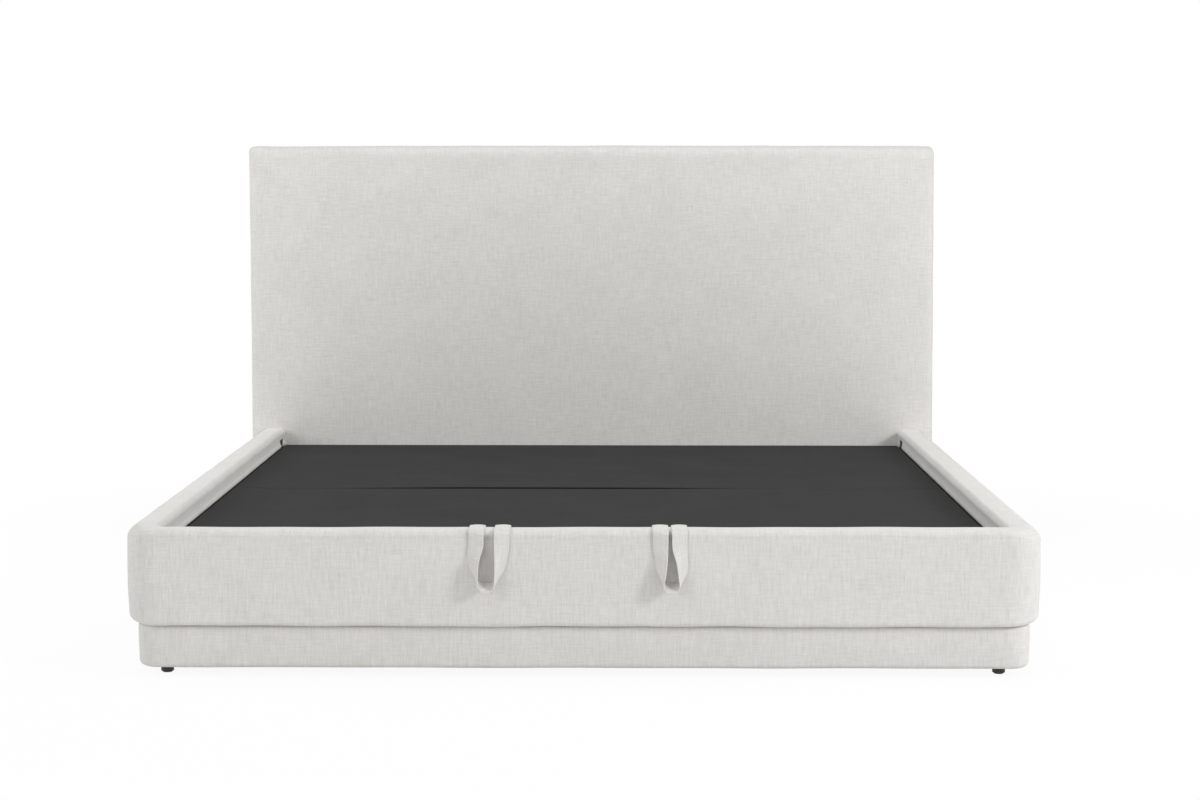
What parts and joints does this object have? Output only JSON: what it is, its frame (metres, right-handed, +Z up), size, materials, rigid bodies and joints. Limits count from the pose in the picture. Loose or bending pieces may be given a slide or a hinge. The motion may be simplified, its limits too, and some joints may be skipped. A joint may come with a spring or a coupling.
{
  "type": "ottoman storage bed",
  "caption": "Upholstered king-size bed with a deck that lifts on levers and gas struts over a storage well, padded rails, plinth and headboard, and cloth pull loops.",
  "frame": {"origin": "centre of the footprint, on the floor", "axes": "+X to the right seen from the foot, +Y towards the headboard, +Z up"},
  "size_m": [2.156, 2.2774, 1.242],
  "materials": {
    "upholstery": "woven slub cloth, off-white",
    "foam": "upholstery foam",
    "deck_cloth": "black non-woven cloth",
    "timber": "planed softwood",
    "panel": "plywood and fibreboard",
    "back_cloth": "black dust cover",
    "frame_steel": "black powder coat",
    "mechanism_steel": "black powder coat",
    "zinc_steel": "zinc plated",
    "strut_body": "black",
    "rod_chrome": "polished rod",
    "glide_plastic": "black plastic",
    "pad_rubber": "black rubber"
  },
  "bodies": {
    "root": {"rail_board_right": "timber", "rail_foam_right": "foam", "rail_cover_right": "upholstery", "rail_board_left": "timber", "rail_foam_left": "foam", "rail_cover_left": "upholstery", "rail_board_foot": "timber", "rail_foam_foot": "foam", "rail_cover_foot": "upholstery", "plinth_board_right": "timber", "plinth_cover_right": "upholstery", "plinth_board_left": "timber", "plinth_cover_left": "upholstery", "plinth_board_foot": "timber", "plinth_cover_foot": "upholstery", "plinth_foam": "foam", "headboard_frame": "timber", "headboard_plywood": "panel", "headboard_back_panel": "back_cloth", "headboard_foam": "foam", "headboard_cover": "upholstery", "headboard_glides": "glide_plastic", "storage_floor_right": "panel", "storage_floor_left": "panel", "floor_battens": "timber", "base_glides": "glide_plastic", "head_crossboard": "panel", "frame_rest_batten": "timber", "frame_rest_pads": "pad_rubber", "corner_brackets": "frame_steel", "bracket_bolts": "zinc_steel", "lift_base_plate_right": "mechanism_steel", "lift_base_plate_left": "mechanism_steel", "base_plate_bolts": "zinc_steel", "base_pins": "zinc_steel"},
    "lift_frame": {"frame_side_tube_right": "frame_steel", "frame_side_tube_left": "frame_steel", "frame_end_tubes": "frame_steel", "frame_cross_tubes": "frame_steel", "frame_plate_right": "frame_steel", "frame_plate_left": "frame_steel", "frame_pins": "zinc_steel", "deck_board_front": "panel", "deck_board_rear": "panel", "deck_cloth_front": "deck_cloth", "deck_cloth_rear": "deck_cloth", "deck_screws": "zinc_steel"},
    "front_levers": {"front_lever_right": "mechanism_steel", "front_lever_left": "mechanism_steel", "lever_strut_pins": "zinc_steel"},
    "rear_levers": {"rear_lever_right": "mechanism_steel", "rear_lever_left": "mechanism_steel"},
    "strut_cylinders": {"strut_cylinders": "strut_body"},
    "strut_rods": {"strut_rods": "rod_chrome", "strut_pistons": "rod_chrome"},
    "loop_bands": {"pull_loop_band_left": "upholstery", "pull_loop_band_right": "upholstery"},
    "loop_ends": {"pull_loop_end_left": "upholstery", "pull_loop_end_right": "upholstery"}
  },
  "joints": [
    {"name": "lift", "type": "hinge", "parent": "root", "child": "front_levers", "pos_m": [0, 0.57118, 0.08], "axis": [1, 0, 0], "range_deg": [0, 58]},
    {"name": "frame_tilt", "type": "hinge", "parent": "front_levers", "child": "lift_frame", "pos_m": [0, 0.80075, 0.20206], "axis": [1, 0, 0], "range_deg": [-92.81, 0]},
    {"name": "rear_lever_turn", "type": "hinge", "parent": "root", "child": "rear_levers", "pos_m": [0, 0.65191, 0.20029], "axis": [1, 0, 0], "range_deg": [0, 73.09]},
    {"name": "strut_swing", "type": "hinge", "parent": "root", "child": "strut_cylinders", "pos_m": [0, 0.77106, 0.07302], "axis": [1, 0, 0], "range_deg": [0, 29.01]},
    {"name": "rod_swing", "type": "hinge", "parent": "front_levers", "child": "strut_rods", "pos_m": [0, 0.64611, 0.26544], "axis": [1, 0, 0], "range_deg": [-29.01, 0]},
    {"name": "loop_band_hinge", "type": "hinge", "parent": "lift_frame", "child": "loop_bands", "pos_m": [0, -1.0253, 0.29], "axis": [1, 0, 0], "range_deg": [0, 161.81]},
    {"name": "loop_end_hinge", "type": "hinge", "parent": "loop_bands", "child": "loop_ends", "pos_m": [0, -1.11525, 0.314], "axis": [1, 0, 0], "range_deg": [-127.01, 0]}
  ],
  "couplings": [
    {"joint": "frame_tilt", "follows": "lift", "ratio": -1.6},
    {"joint": "rear_lever_turn", "follows": "lift", "ratio": 1.26},
    {"joint": "strut_swing", "follows": "lift", "ratio": 0.5},
    {"joint": "rod_swing", "follows": "lift", "ratio": -0.5},
    {"joint": "loop_band_hinge", "follows": "lift", "ratio": 2.7897},
    {"joint": "loop_end_hinge", "follows": "lift", "ratio": -2.1897}
  ]
}
